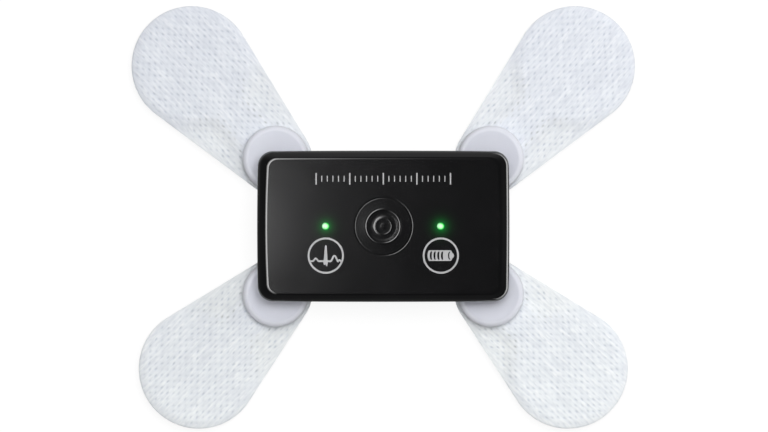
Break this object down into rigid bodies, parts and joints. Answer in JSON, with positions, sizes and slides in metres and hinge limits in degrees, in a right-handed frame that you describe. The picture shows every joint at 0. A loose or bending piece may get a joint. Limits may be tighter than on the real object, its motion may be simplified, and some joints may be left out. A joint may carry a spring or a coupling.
{
  "type": "holter monitor",
  "caption": "Flat black wearable heart recorder with an event key and lamps, snapped to drop-shaped cloth electrodes that splay from its corners.",
  "frame": {"origin": "on the skin plane under the middle of the whole outline, 2.3 mm above the housing's middle", "axes": "+X along the housing, +Y towards its upper edge as worn, +Z away from the skin"},
  "size_m": [0.131, 0.11, 0.0157],
  "materials": {
    "cover_black": "polished",
    "rear_black": "fine texture",
    "seal_grey": "satin",
    "screw_steel": "satin",
    "insert_brass": "machined",
    "key_black": "polished",
    "switch_plastic": "moulded",
    "switch_plunger": "moulded",
    "rod_clear": "clear, lit green",
    "lamp_green": "lit green",
    "board_green": "solder mask",
    "chip_black": "moulded",
    "can_metal": "tinned",
    "passive_tan": "fired",
    "battery_foil": "pouch foil",
    "pad_foam": "foam",
    "lead_red": "insulated wire",
    "pin_gold": "gold plated",
    "spring_copper": "spring sheet",
    "ear_lavender": "satin",
    "socket_nickel": "nickel plated",
    "ring_steel": "drawn wire",
    "cloth_white": "point-bonded nonwoven",
    "foam_white": "closed-cell foam",
    "gel_clear": "wet gel",
    "sensor_silver": "printed silver ink",
    "eyelet_silver": "coated",
    "stud_steel": "nickel plated"
  },
  "bodies": {
    "recorder": {"front_cover": "cover_black", "rear_cover": "rear_black", "cover_gasket": "seal_grey", "cover_screws": "screw_steel", "cover_inserts": "insert_brass", "switch_case": "switch_plastic", "light_rods": "rod_clear", "signal_lamps": "lamp_green", "main_board": "board_green", "board_screws": "screw_steel", "ecg_input_chip": "chip_black", "processor_chip": "chip_black", "memory_chip": "chip_black", "radio_module": "can_metal", "clock_crystal": "can_metal", "board_passives": "passive_tan", "battery_cell": "battery_foil", "battery_pad": "pad_foam", "battery_leads": "lead_red", "charge_pins": "pin_gold", "ear_screws": "screw_steel", "board_springs": "spring_copper", "snap_ear_upper_left": "ear_lavender", "snap_socket_upper_left": "socket_nickel", "snap_ear_upper_right": "ear_lavender", "snap_socket_upper_right": "socket_nickel", "snap_ear_lower_left": "ear_lavender", "snap_socket_lower_left": "socket_nickel", "snap_ear_lower_right": "ear_lavender", "snap_socket_lower_right": "socket_nickel"},
    "key": {"event_key": "key_black", "switch_plunger": "switch_plunger"},
    "snap_ring_upper_left": {"snap_ring_upper_left": "ring_steel"},
    "electrode_upper_left": {"backing_upper_left": "cloth_white", "foam_carrier_upper_left": "foam_white", "gel_pad_upper_left": "gel_clear", "sensor_strip_upper_left": "sensor_silver", "eyelet_upper_left": "eyelet_silver", "stud_upper_left": "stud_steel"},
    "snap_ring_upper_right": {"snap_ring_upper_right": "ring_steel"},
    "electrode_upper_right": {"backing_upper_right": "cloth_white", "foam_carrier_upper_right": "foam_white", "gel_pad_upper_right": "gel_clear", "sensor_strip_upper_right": "sensor_silver", "eyelet_upper_right": "eyelet_silver", "stud_upper_right": "stud_steel"},
    "snap_ring_lower_left": {"snap_ring_lower_left": "ring_steel"},
    "electrode_lower_left": {"backing_lower_left": "cloth_white", "foam_carrier_lower_left": "foam_white", "gel_pad_lower_left": "gel_clear", "sensor_strip_lower_left": "sensor_silver", "eyelet_lower_left": "eyelet_silver", "stud_lower_left": "stud_steel"},
    "snap_ring_lower_right": {"snap_ring_lower_right": "ring_steel"},
    "electrode_lower_right": {"backing_lower_right": "cloth_white", "foam_carrier_lower_right": "foam_white", "gel_pad_lower_right": "gel_clear", "sensor_strip_lower_right": "sensor_silver", "eyelet_lower_right": "eyelet_silver", "stud_lower_right": "stud_steel"}
  },
  "joints": [
    {"name": "event_key_press", "type": "slide", "parent": "recorder", "child": "key", "axis": [0, 0, -1], "range_m": [0, 0.0003], "stiffness_N_per_m": 3000, "springref_m": -0.0002},
    {"name": "swivel_upper_left", "type": "hinge", "parent": "recorder", "child": "snap_ring_upper_left", "pos_m": [-0.02795, 0.01525, 0.0025], "axis": [0, 0, 1], "range_deg": [-45, 45]},
    {"name": "unsnap_upper_left", "type": "slide", "parent": "snap_ring_upper_left", "child": "electrode_upper_left", "axis": [0, 0, -1], "range_m": [0, 0.0045], "deforming": ["snap_ring_upper_left"]},
    {"name": "swivel_upper_right", "type": "hinge", "parent": "recorder", "child": "snap_ring_upper_right", "pos_m": [0.02795, 0.01525, 0.0025], "axis": [0, 0, 1], "range_deg": [-45, 45]},
    {"name": "unsnap_upper_right", "type": "slide", "parent": "snap_ring_upper_right", "child": "electrode_upper_right", "axis": [0, 0, -1], "range_m": [0, 0.0045], "deforming": ["snap_ring_upper_right"]},
    {"name": "swivel_lower_left", "type": "hinge", "parent": "recorder", "child": "snap_ring_lower_left", "pos_m": [-0.02795, -0.01985, 0.0025], "axis": [0, 0, 1], "range_deg": [-45, 45]},
    {"name": "unsnap_lower_left", "type": "slide", "parent": "snap_ring_lower_left", "child": "electrode_lower_left", "axis": [0, 0, -1], "range_m": [0, 0.0045], "deforming": ["snap_ring_lower_left"]},
    {"name": "swivel_lower_right", "type": "hinge", "parent": "recorder", "child": "snap_ring_lower_right", "pos_m": [0.02795, -0.01985, 0.0025], "axis": [0, 0, 1], "range_deg": [-45, 45]},
    {"name": "unsnap_lower_right", "type": "slide", "parent": "snap_ring_lower_right", "child": "electrode_lower_right", "axis": [0, 0, -1], "range_m": [0, 0.0045], "deforming": ["snap_ring_lower_right"]}
  ]
}
